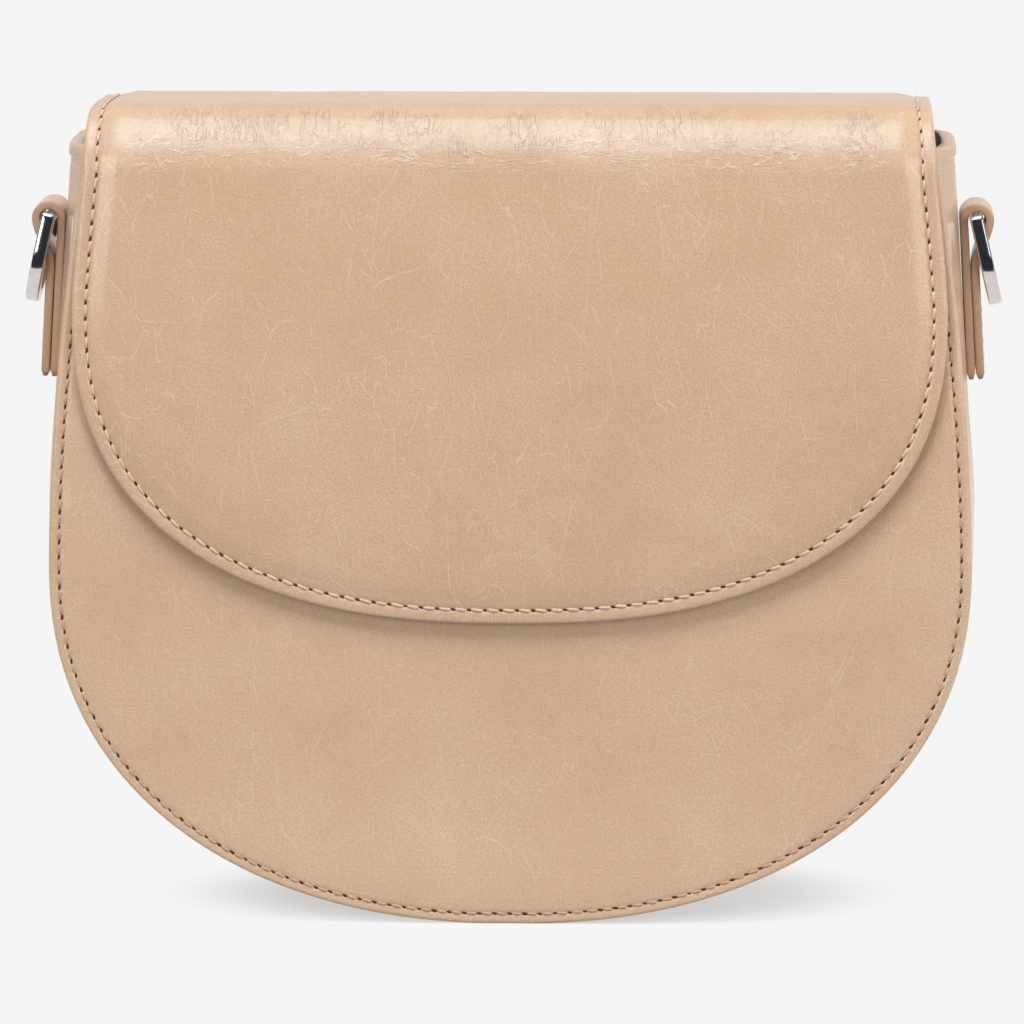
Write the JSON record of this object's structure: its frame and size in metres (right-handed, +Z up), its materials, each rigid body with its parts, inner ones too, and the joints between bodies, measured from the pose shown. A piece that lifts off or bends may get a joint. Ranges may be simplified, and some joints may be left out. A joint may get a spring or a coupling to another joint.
{
  "type": "handbag",
  "caption": "Structured saddle handbag with half-moon panels, a gusset, a fold-over flap with hidden magnetic closure and side tabs holding D-rings for a strap",
  "frame": {"origin": "centre of the bag's footprint, on the surface that it stands on", "axes": "+Z up, the front with the flap faces -Y, +X along the width, to the right as seen from the front"},
  "size_m": [0.2352, 0.0654, 0.1959],
  "materials": {
    "shell_leather": "smooth glazed leather, fine grain, soft gloss",
    "flap_leather": "smooth glazed leather with fine creases and scratches",
    "gusset_leather": "smooth glazed leather",
    "tab_leather": "smooth leather with painted edges",
    "lining_leather": "matt split leather",
    "lining_fabric": "woven lining cloth",
    "board": "pressed leather-fibre board",
    "panel_thread": "waxed thread, tan",
    "flap_thread": "waxed thread, cream",
    "ring_metal": "polished nickel plate",
    "magnet_metal": "plated disc"
  },
  "bodies": {
    "bag": {"front_panel": "shell_leather", "front_stiffener": "board", "front_lining": "lining_fabric", "front_thread": "panel_thread", "back_panel": "shell_leather", "back_stiffener": "board", "back_lining": "lining_fabric", "back_thread": "panel_thread", "gusset": "gusset_leather", "gusset_lining": "lining_fabric", "panel_magnet": "magnet_metal", "flap_yoke": "shell_leather", "yoke_lining": "lining_leather", "yoke_thread": "flap_thread", "left_tab": "tab_leather", "right_tab": "tab_leather", "left_tab_thread": "panel_thread", "right_tab_thread": "panel_thread"},
    "flap_top": {"flap_top_leather": "flap_leather", "flap_top_core": "board", "flap_top_lining": "lining_leather", "flap_top_thread": "flap_thread"},
    "flap_front": {"flap_front_leather": "flap_leather", "flap_front_core": "board", "flap_front_lining": "lining_leather", "flap_front_thread": "flap_thread", "flap_magnet": "magnet_metal"},
    "ring_left": {"left_ring": "ring_metal"},
    "ring_right": {"right_ring": "ring_metal"}
  },
  "joints": [
    {"name": "flap_back_bend", "type": "hinge", "parent": "bag", "child": "flap_top", "pos_m": [0, 0.03125, 0.1944], "axis": [-1, 0, 0], "range_deg": [0, 215]},
    {"name": "flap_front_bend", "type": "hinge", "parent": "flap_top", "child": "flap_front", "pos_m": [0, -0.02952, 0.19267], "axis": [-1, 0, 0], "range_deg": [0, 90]},
    {"name": "left_ring_swing", "type": "hinge", "parent": "bag", "child": "ring_left", "pos_m": [-0.11122, 0, 0.1676], "axis": [0, 1, 0], "range_deg": [0, 160]},
    {"name": "right_ring_swing", "type": "hinge", "parent": "bag", "child": "ring_right", "pos_m": [0.11122, 0, 0.1676], "axis": [0, -1, 0], "range_deg": [0, 160]}
  ]
}
